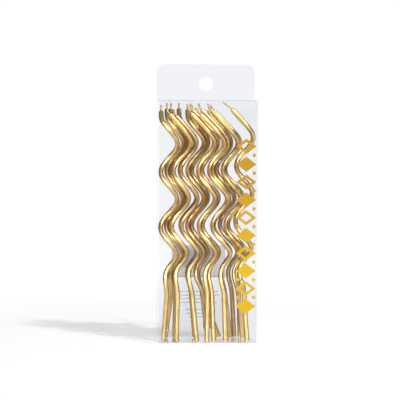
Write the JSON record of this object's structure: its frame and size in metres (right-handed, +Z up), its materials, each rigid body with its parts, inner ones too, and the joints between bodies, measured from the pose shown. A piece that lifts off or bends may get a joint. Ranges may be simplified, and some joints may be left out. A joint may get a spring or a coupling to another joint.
{
  "type": "candle pack",
  "caption": "Clear hang-tab folding box of slim spiral birthday candles, with hinged tuck lids, dust flaps and wicked wax rods.",
  "frame": {"origin": "middle of the base, on the surface that the pack stands on", "axes": "+Z up, -Y out of the front panel, +X to the right seen from the front"},
  "size_m": [0.06, 0.0251, 0.1669],
  "materials": {
    "clear_sheet": "clear glossy PET sheet",
    "gold_wax": "wax rod with satin metallic gold coat",
    "gold_wick": "braided cotton, dipped in the same gold coat",
    "label_paper": "matt printed paper"
  },
  "bodies": {
    "pack": {"front_panel": "clear_sheet", "left_panel": "clear_sheet", "right_panel": "clear_sheet", "glue_flap": "clear_sheet", "back_panel": "clear_sheet", "back_label": "label_paper", "candle_01_wax": "gold_wax", "candle_01_wick": "gold_wick", "candle_02_wax": "gold_wax", "candle_02_wick": "gold_wick", "candle_03_wax": "gold_wax", "candle_03_wick": "gold_wick", "candle_04_wax": "gold_wax", "candle_04_wick": "gold_wick", "candle_05_wax": "gold_wax", "candle_05_wick": "gold_wick", "candle_06_wax": "gold_wax", "candle_06_wick": "gold_wick", "candle_07_wax": "gold_wax", "candle_07_wick": "gold_wick", "candle_08_wax": "gold_wax", "candle_08_wick": "gold_wick", "candle_09_wax": "gold_wax", "candle_09_wick": "gold_wick", "candle_10_wax": "gold_wax", "candle_10_wick": "gold_wick", "candle_11_wax": "gold_wax", "candle_11_wick": "gold_wick", "candle_12_wax": "gold_wax", "candle_12_wick": "gold_wick", "candle_13_wax": "gold_wax", "candle_13_wick": "gold_wick", "candle_14_wax": "gold_wax", "candle_14_wick": "gold_wick", "candle_15_wax": "gold_wax", "candle_15_wick": "gold_wick", "candle_16_wax": "gold_wax", "candle_16_wick": "gold_wick"},
    "top_lid": {"top_lid": "clear_sheet"},
    "top_tuck_flap": {"top_tuck_flap": "clear_sheet"},
    "top_left_dust_flap": {"top_left_dust_flap": "clear_sheet"},
    "top_right_dust_flap": {"top_right_dust_flap": "clear_sheet"},
    "bottom_lid": {"bottom_lid": "clear_sheet"},
    "bottom_tuck_flap": {"bottom_tuck_flap": "clear_sheet"},
    "bottom_left_dust_flap": {"bottom_left_dust_flap": "clear_sheet"},
    "bottom_right_dust_flap": {"bottom_right_dust_flap": "clear_sheet"}
  },
  "joints": [
    {"name": "top_lid_hinge", "type": "hinge", "parent": "pack", "child": "top_lid", "pos_m": [0, -0.01235, 0.14477], "axis": [1, 0, 0], "range_deg": [0, 180]},
    {"name": "top_tuck_fold", "type": "hinge", "parent": "top_lid", "child": "top_tuck_flap", "pos_m": [0, 0.01135, 0.14442], "axis": [1, 0, 0], "range_deg": [-81, 0]},
    {"name": "top_left_dust_fold", "type": "hinge", "parent": "pack", "child": "top_left_dust_flap", "pos_m": [-0.02986, 0, 0.14442], "axis": [0, -1, 0], "range_deg": [0, 45]},
    {"name": "top_right_dust_fold", "type": "hinge", "parent": "pack", "child": "top_right_dust_flap", "pos_m": [0.02986, 0, 0.14442], "axis": [0, 1, 0], "range_deg": [0, 45]},
    {"name": "bottom_lid_hinge", "type": "hinge", "parent": "pack", "child": "bottom_lid", "pos_m": [0, -0.01235, 0.00015], "axis": [-1, 0, 0], "range_deg": [0, 180]},
    {"name": "bottom_tuck_fold", "type": "hinge", "parent": "bottom_lid", "child": "bottom_tuck_flap", "pos_m": [0, 0.01135, 0.0005], "axis": [-1, 0, 0], "range_deg": [-81, 0]},
    {"name": "bottom_left_dust_fold", "type": "hinge", "parent": "pack", "child": "bottom_left_dust_flap", "pos_m": [-0.02986, 0, 0.0005], "axis": [0, 1, 0], "range_deg": [0, 45]},
    {"name": "bottom_right_dust_fold", "type": "hinge", "parent": "pack", "child": "bottom_right_dust_flap", "pos_m": [0.02986, 0, 0.0005], "axis": [0, -1, 0], "range_deg": [0, 45]}
  ],
  "couplings": [
    {"joint": "top_left_dust_fold", "follows": "top_lid_hinge", "ratio": 0.25},
    {"joint": "top_right_dust_fold", "follows": "top_lid_hinge", "ratio": 0.25},
    {"joint": "top_tuck_fold", "follows": "top_lid_hinge", "ratio": -0.45},
    {"joint": "bottom_left_dust_fold", "follows": "bottom_lid_hinge", "ratio": 0.25},
    {"joint": "bottom_right_dust_fold", "follows": "bottom_lid_hinge", "ratio": 0.25},
    {"joint": "bottom_tuck_fold", "follows": "bottom_lid_hinge", "ratio": -0.45}
  ]
}
